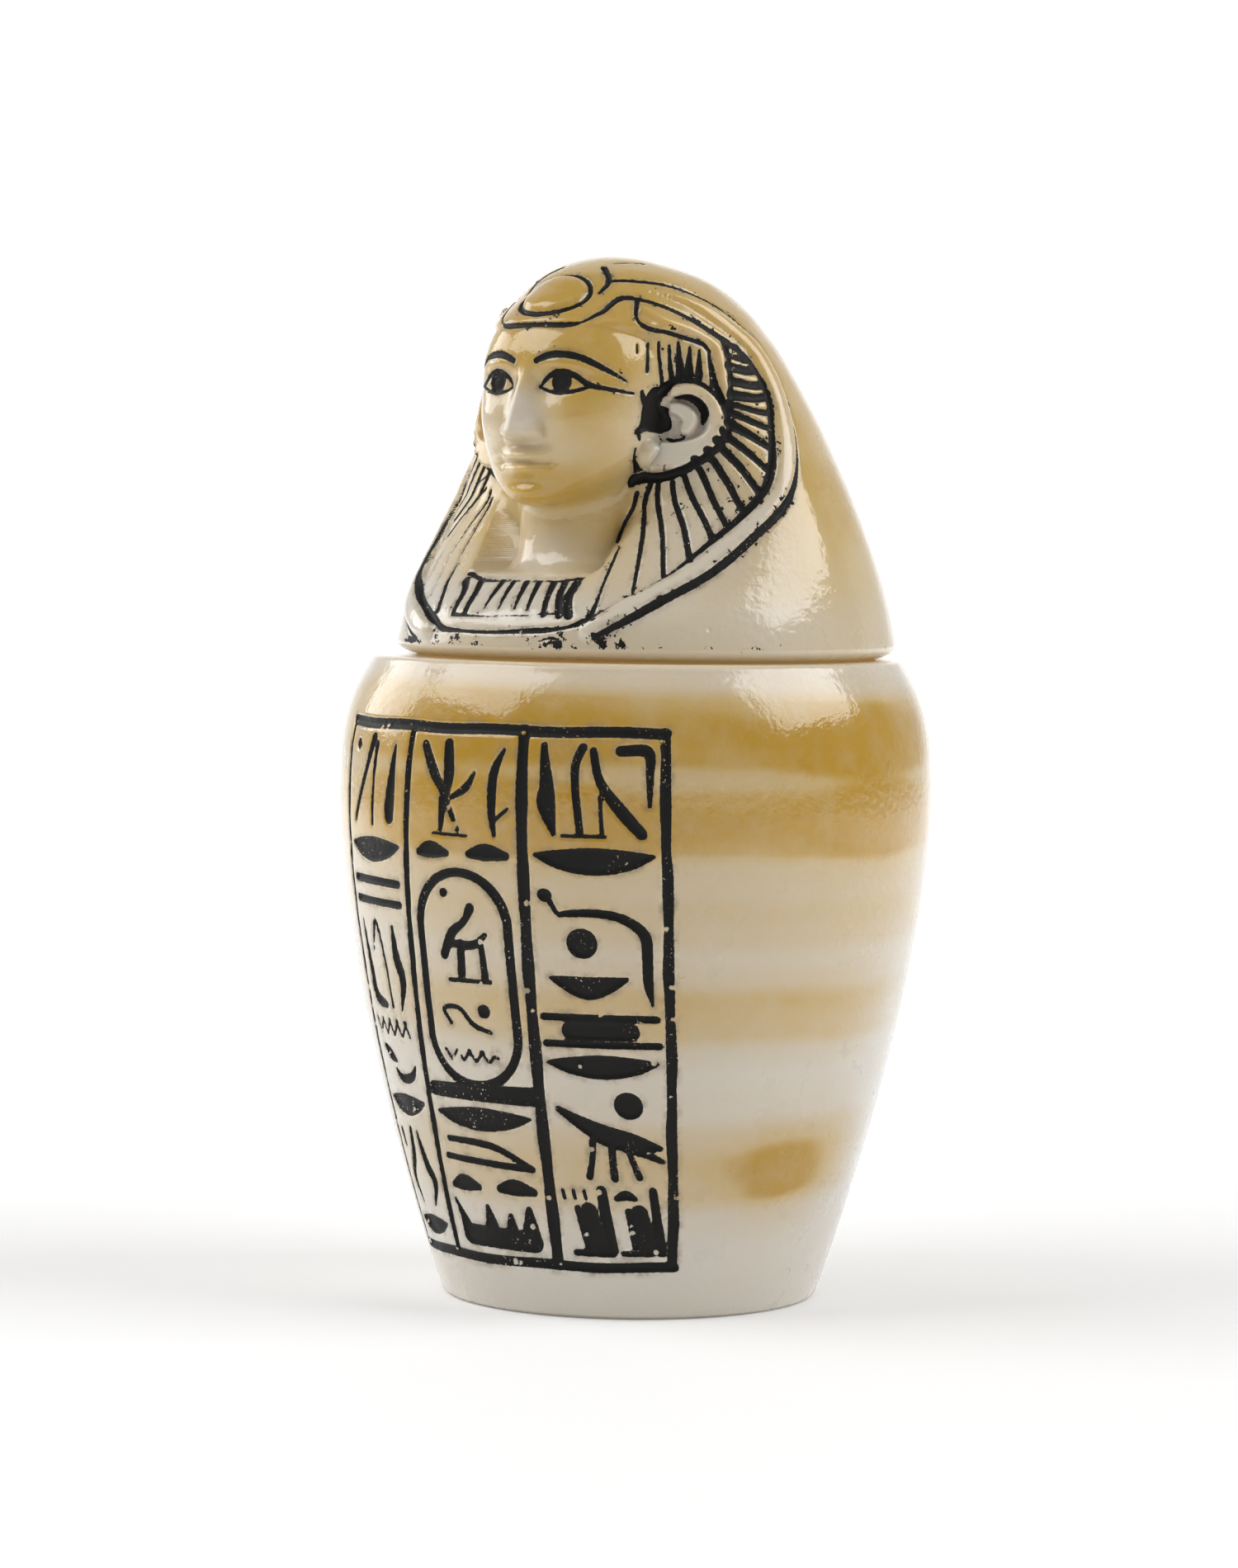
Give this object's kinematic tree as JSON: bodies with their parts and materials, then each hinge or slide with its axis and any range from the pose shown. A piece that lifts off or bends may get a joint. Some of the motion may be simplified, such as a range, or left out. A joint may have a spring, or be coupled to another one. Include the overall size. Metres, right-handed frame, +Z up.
{
  "type": "canopic jar",
  "caption": "Small hollow canopic jar in cast resin, with a lift-off lid shaped as a head in a pleated head cloth and a panel of shallow engraved strokes.",
  "frame": {"origin": "centre of the underside of the foot, on the jar's axis", "axes": "+Z up along the jar's axis, the lid's face and the panel look along -Y, +X is the figure's own left"},
  "size_m": [0.0798, 0.0798, 0.139],
  "materials": {
    "jar_resin": "glossy marbled cast resin in cream and amber bands, black paint wiped into the strokes",
    "lid_resin": "glossy marbled cast resin in amber and cream, black paint wiped into the grooves"
  },
  "bodies": {
    "root": {"jar_body": "jar_resin", "head_lid": "lid_resin"}
  },
  "joints": []
}
